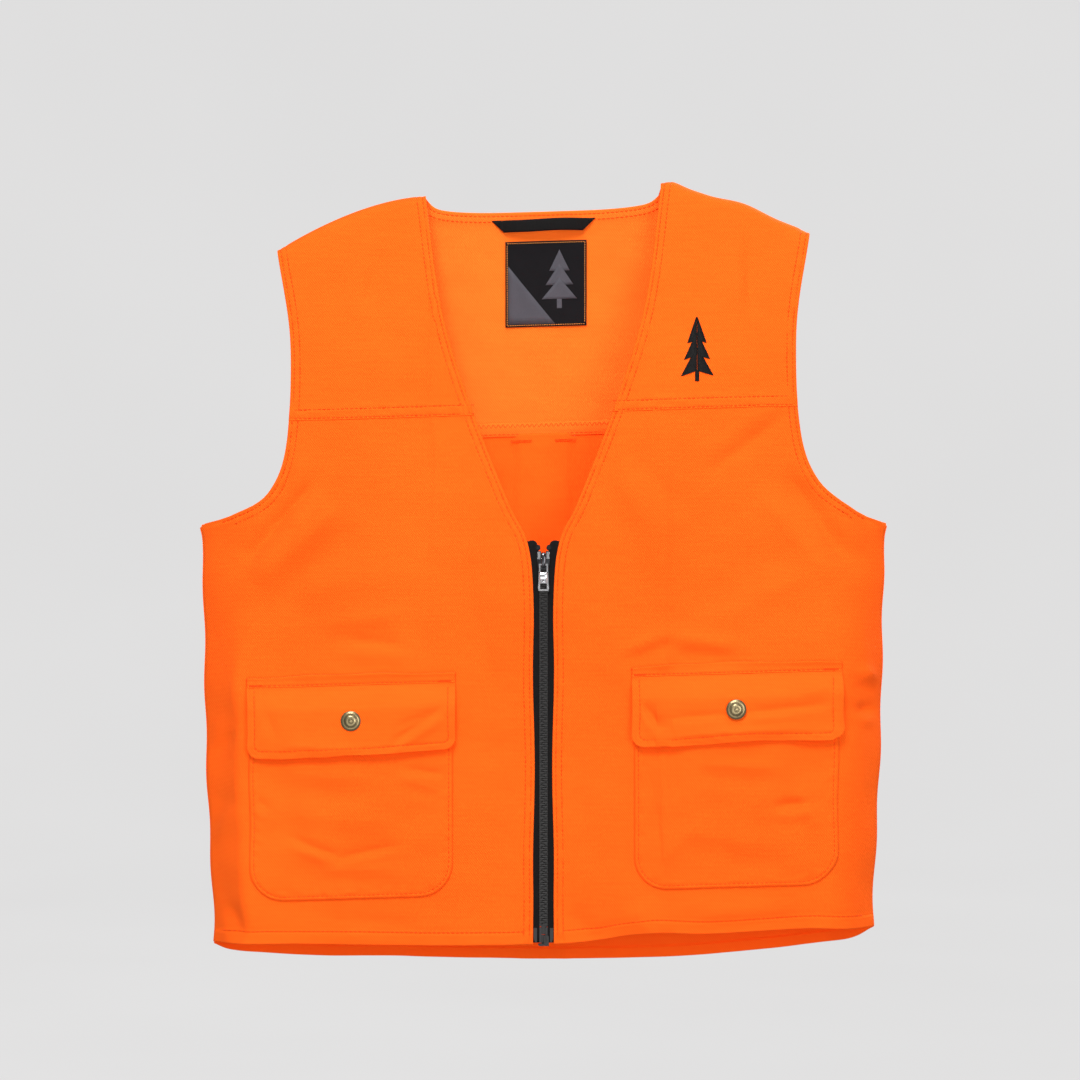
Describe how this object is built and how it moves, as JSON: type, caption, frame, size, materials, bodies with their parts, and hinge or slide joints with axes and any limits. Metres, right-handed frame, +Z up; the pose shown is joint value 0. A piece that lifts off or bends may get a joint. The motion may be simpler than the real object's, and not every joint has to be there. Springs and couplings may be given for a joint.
{
  "type": "sleeveless field vest",
  "caption": "Sleeveless blaze orange field vest with a V neck, a full front zip and flapped patch pockets closed by snaps, hanging from its shoulders.",
  "frame": {"origin": "middle of the line that a hanger's arms bear on, level with the cloth's underside beside the neck", "axes": "+Z up, -Y out of the front, +X towards the wearer's left"},
  "size_m": [0.5358, 0.071, 0.6138],
  "materials": {
    "twill": "blaze orange cotton-polyester twill",
    "tape": "black woven polyester tape",
    "tooth": "black moulded acetal, slight gloss",
    "film": "black heat-pressed film",
    "nickel": "bright nickel plate",
    "brass": "antiqued, worn to pale brass on its high places",
    "label": "black damask-woven label",
    "thread": "black rayon embroidery thread"
  },
  "bodies": {
    "root": {"back_panel": "twill", "back_yoke": "twill", "left_front_yoke": "twill", "right_front_yoke": "twill", "neck_label": "label", "hanging_loop": "tape", "chest_mark": "thread"},
    "front_left": {"left_front_panel": "twill", "left_pocket_bag": "twill", "left_flap_seam_strip": "twill", "left_snap_stud": "brass", "left_snap_post": "brass", "left_zip_tape": "tape", "left_zip_chain": "tooth", "left_zip_end_film": "film", "left_zip_top_stop": "tooth", "zip_box_pin": "tooth", "zip_retainer_box": "tooth"},
    "front_right": {"right_front_panel": "twill", "right_pocket_bag": "twill", "right_flap_seam_strip": "twill", "right_snap_stud": "brass", "right_snap_post": "brass", "right_zip_tape": "tape", "right_zip_chain": "tooth", "right_zip_end_film": "film", "right_zip_top_stop": "tooth", "zip_insertion_pin": "tooth"},
    "flap_left": {"left_flap": "twill", "left_flap_lining": "twill", "left_snap_cap": "brass", "left_snap_socket": "brass"},
    "flap_right": {"right_flap": "twill", "right_flap_lining": "twill", "right_snap_cap": "brass", "right_snap_socket": "brass"},
    "zip_slider": {"zip_slider_body": "nickel", "zip_slider_crown": "nickel", "zip_lock_spring": "nickel"},
    "zip_pull": {"zip_pull_tab": "nickel"}
  },
  "joints": [
    {"name": "front_left_swing", "type": "hinge", "parent": "root", "child": "front_left", "pos_m": [0.2615, 0, -0.427], "axis": [0.0327, 0, 0.9995], "range_deg": [0, 32]},
    {"name": "front_right_swing", "type": "hinge", "parent": "root", "child": "front_right", "pos_m": [-0.2615, 0, -0.427], "axis": [0.0327, 0, -0.9995], "range_deg": [0, 32]},
    {"name": "flap_left_lift", "type": "hinge", "parent": "front_left", "child": "flap_left", "pos_m": [0.1485, -0.032, -0.37474], "axis": [-0.9996, 0, -0.03], "range_deg": [0, 140]},
    {"name": "flap_right_lift", "type": "hinge", "parent": "front_right", "child": "flap_right", "pos_m": [-0.1485, -0.032, -0.38366], "axis": [-0.9996, 0, -0.03], "range_deg": [0, 140]},
    {"name": "zip_slide", "type": "slide", "parent": "front_left", "child": "zip_slider", "axis": [0, 0, -1], "range_m": [0, 0.281]},
    {"name": "zip_pull_swing", "type": "hinge", "parent": "zip_slider", "child": "zip_pull", "pos_m": [0, -0.0312, -0.29], "axis": [-1, 0, 0], "range_deg": [0, 140]}
  ]
}
